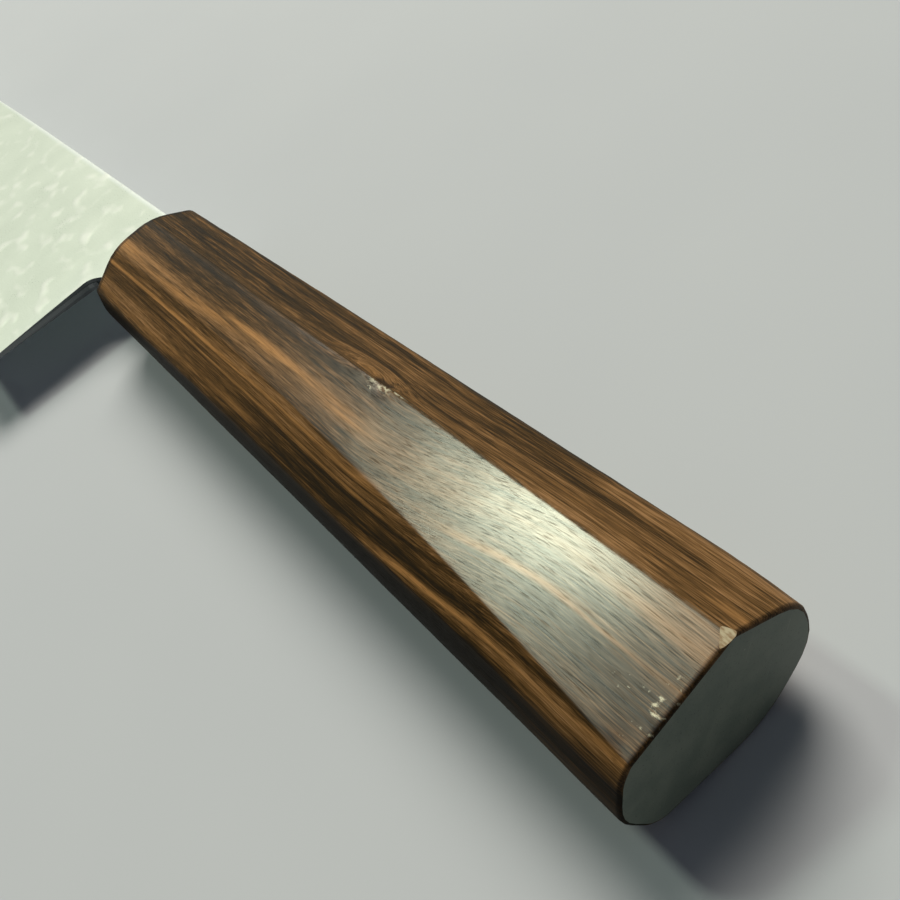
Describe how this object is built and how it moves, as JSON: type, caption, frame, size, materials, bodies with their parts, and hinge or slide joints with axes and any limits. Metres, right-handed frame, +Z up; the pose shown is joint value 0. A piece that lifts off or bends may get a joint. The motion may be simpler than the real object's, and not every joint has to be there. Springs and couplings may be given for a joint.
{
  "type": "gyuto knife",
  "caption": "Laminated chef's knife with a pear-skin blade and a one-piece eight-sided dark wood handle that swells towards a flat butt.",
  "frame": {"origin": "middle of the overall box, on the surface that the knife lies on", "axes": "+X from the butt towards the tip, +Y from the spine towards the cutting edge, +Z up through the left face of the blade"},
  "size_m": [0.3944, 0.0564, 0.0217],
  "materials": {
    "dark_wood": "satin",
    "pear_skin_steel": "satin",
    "core_steel": "polished",
    "bedding_resin": "matte"
  },
  "bodies": {
    "root": {"handle": "dark_wood", "tang_bedding": "bedding_resin", "core_steel": "core_steel", "left_cladding": "pear_skin_steel", "right_cladding": "pear_skin_steel"}
  },
  "joints": []
}
